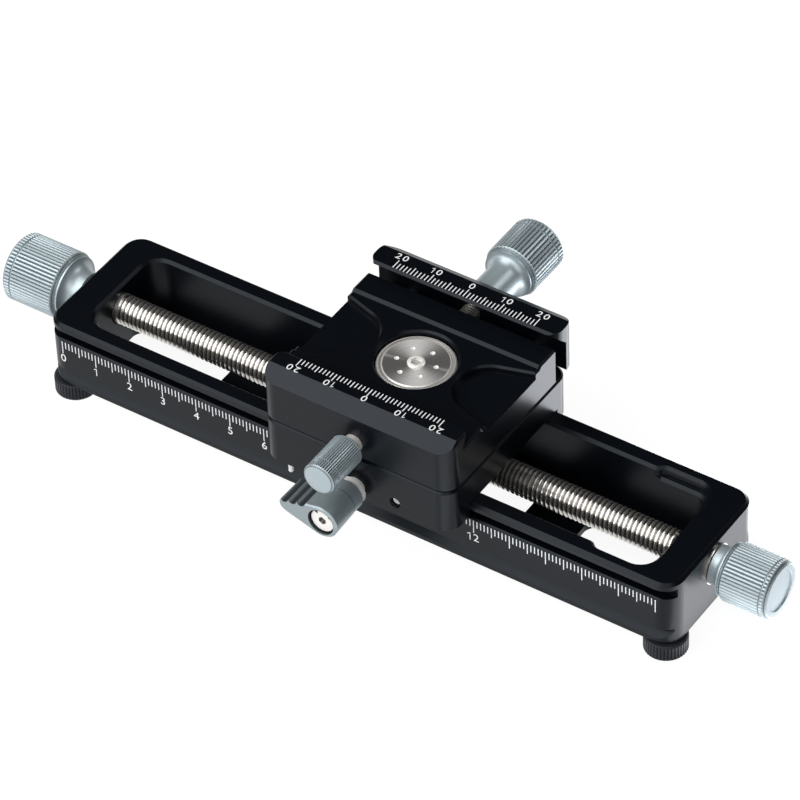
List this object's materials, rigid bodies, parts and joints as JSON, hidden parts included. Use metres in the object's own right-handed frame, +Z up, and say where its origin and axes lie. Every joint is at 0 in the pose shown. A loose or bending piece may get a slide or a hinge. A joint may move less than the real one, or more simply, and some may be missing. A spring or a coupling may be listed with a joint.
{
  "type": "macro focusing rail",
  "caption": "Geared focusing rail: a lead screw drives a carriage with a panning dovetail plate clamp, travel lock, pan lock and screw-in feet.",
  "frame": {"origin": "middle of the rail's underside, at the mouth of the large tripod thread", "axes": "+X along the rail towards the small end knob, +Y towards the clamp knob, +Z up"},
  "size_m": [0.2187, 0.0958, 0.0472],
  "materials": {
    "body_black": "bead-blasted, anodised near-black",
    "knob_grey": "turned and knurled, anodised blue-grey",
    "screw_steel": "turned stainless",
    "disc_steel": "turned stainless",
    "dark_steel": "black oxide",
    "brass": "machined",
    "bush_bronze": "turned",
    "pin_white": "smooth",
    "foot_black": "knurled, anodised black"
  },
  "bodies": {
    "rail": {"rail_frame": "body_black", "bush_left": "bush_bronze", "bush_right": "bush_bronze"},
    "drive": {"lead_screw": "screw_steel", "left_knob": "knob_grey", "right_knob": "knob_grey"},
    "carriage": {"carriage_body": "body_black", "drive_nut": "brass", "nut_screws": "dark_steel", "gib_strip": "brass", "gib_set_screws": "dark_steel", "index_pin": "pin_white", "pivot_disc": "disc_steel", "pivot_screw": "disc_steel"},
    "clamp": {"clamp_base": "body_black", "pan_lock_pad": "brass"},
    "pan_lock": {"pan_lock_knob": "knob_grey", "pan_lock_stud": "screw_steel"},
    "jaw": {"movable_jaw": "body_black", "guide_pins": "screw_steel", "clamp_washer": "screw_steel"},
    "jaw_drive": {"clamp_knob": "knob_grey", "clamp_screw": "screw_steel"},
    "travel_lock": {"lock_lever": "knob_grey", "lock_hub": "knob_grey", "lock_stud": "screw_steel", "lock_screw": "screw_steel"},
    "foot_fl": {"foot_front_left": "foot_black"},
    "foot_fr": {"foot_front_right": "foot_black"},
    "foot_rl": {"foot_rear_left": "foot_black"},
    "foot_rr": {"foot_rear_right": "foot_black"}
  },
  "joints": [
    {"name": "screw_turn", "type": "hinge", "parent": "rail", "child": "drive", "pos_m": [0, 0, 0.0123], "axis": [1, 0, 0], "range_deg": [-15640, 20060]},
    {"name": "carriage_slide", "type": "slide", "parent": "rail", "child": "carriage", "axis": [1, 0, 0], "range_m": [-0.06964, 0.0543]},
    {"name": "clamp_pan", "type": "hinge", "parent": "carriage", "child": "clamp", "pos_m": [0.00767, -0.0007, 0.03], "axis": [0, 0, 1], "continuous": true},
    {"name": "pan_lock_turn", "type": "hinge", "parent": "clamp", "child": "pan_lock", "pos_m": [0.00767, -0.0275, 0.0322], "axis": [0, 1, 0], "range_deg": [-540, 120]},
    {"name": "jaw_slide", "type": "slide", "parent": "clamp", "child": "jaw", "axis": [0, 1, 0], "range_m": [-0.00308, 0.00148]},
    {"name": "clamp_knob_turn", "type": "hinge", "parent": "jaw", "child": "jaw_drive", "pos_m": [0.00767, 0.0276, 0.0344], "axis": [0, 1, 0], "range_deg": [-1390, 670]},
    {"name": "lock_lever_turn", "type": "hinge", "parent": "carriage", "child": "travel_lock", "pos_m": [0.00767, -0.0275, 0.0184], "axis": [0, 1, 0], "range_deg": [-80, 35]},
    {"name": "foot_fl_turn", "type": "hinge", "parent": "rail", "child": "foot_fl", "pos_m": [-0.0853, -0.0146, 0], "axis": [0, 0, 1], "continuous": true},
    {"name": "foot_fr_turn", "type": "hinge", "parent": "rail", "child": "foot_fr", "pos_m": [0.0853, -0.0146, 0], "axis": [0, 0, 1], "continuous": true},
    {"name": "foot_rl_turn", "type": "hinge", "parent": "rail", "child": "foot_rl", "pos_m": [-0.0853, 0.0146, 0], "axis": [0, 0, 1], "continuous": true},
    {"name": "foot_rr_turn", "type": "hinge", "parent": "rail", "child": "foot_rr", "pos_m": [0.0853, 0.0146, 0], "axis": [0, 0, 1], "continuous": true}
  ],
  "couplings": [
    {"joint": "screw_turn", "follows": "carriage_slide", "rad_per_m": -5026.5},
    {"joint": "clamp_knob_turn", "follows": "jaw_slide", "rad_per_m": 7854}
  ]
}
